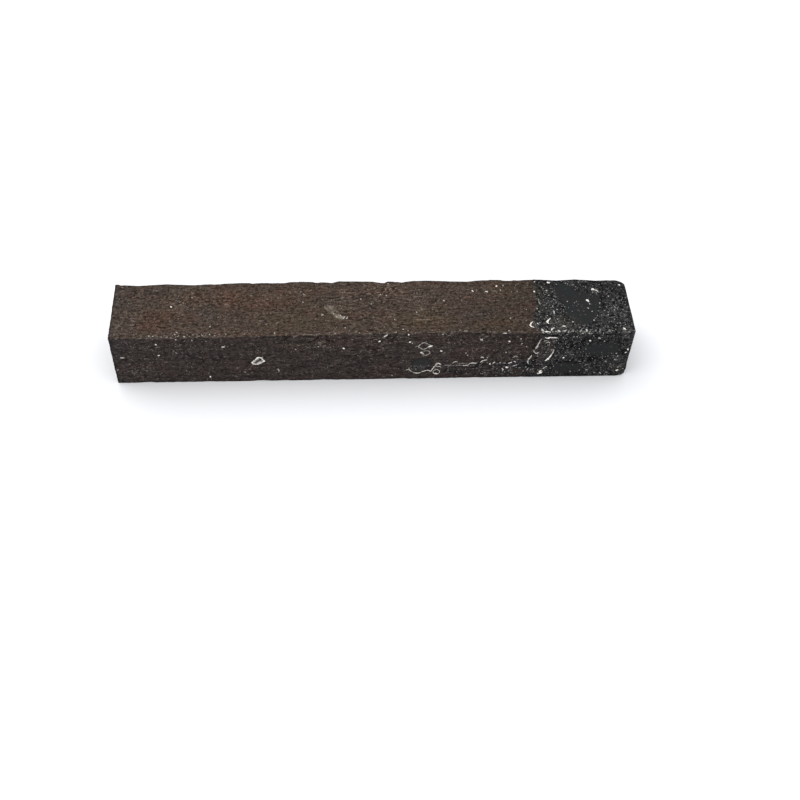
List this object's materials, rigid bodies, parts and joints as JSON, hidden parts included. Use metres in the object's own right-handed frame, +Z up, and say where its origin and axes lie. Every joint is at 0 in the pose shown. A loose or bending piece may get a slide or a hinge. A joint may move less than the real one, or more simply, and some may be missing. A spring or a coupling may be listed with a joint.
{
  "type": "wood turning blank",
  "caption": "Dark dense hardwood stick sawn square for turning, its end sealed by a dip in black wax, with wax runs and stuck flakes.",
  "frame": {"origin": "under the middle of the stick, on the plane that it lies on", "axes": "+X along the stick towards the waxed end, +Y from the front with the wax run to the back, +Z up"},
  "size_m": [0.3, 0.042, 0.0393],
  "materials": {
    "dark_timber": "rough sawn, matte and dusty",
    "black_wax": null,
    "pale_wax": null
  },
  "bodies": {
    "root": {"timber_billet": "dark_timber", "wax_end_cap": "black_wax", "wax_run_film": "black_wax", "wax_run_bead": "black_wax", "wax_droplet_upper": "pale_wax", "wax_droplet_lower": "pale_wax", "wax_ring_large": "pale_wax", "wax_ring_small": "pale_wax", "pale_curl_flake": "pale_wax", "wax_crescent_flake": "pale_wax"}
  },
  "joints": []
}
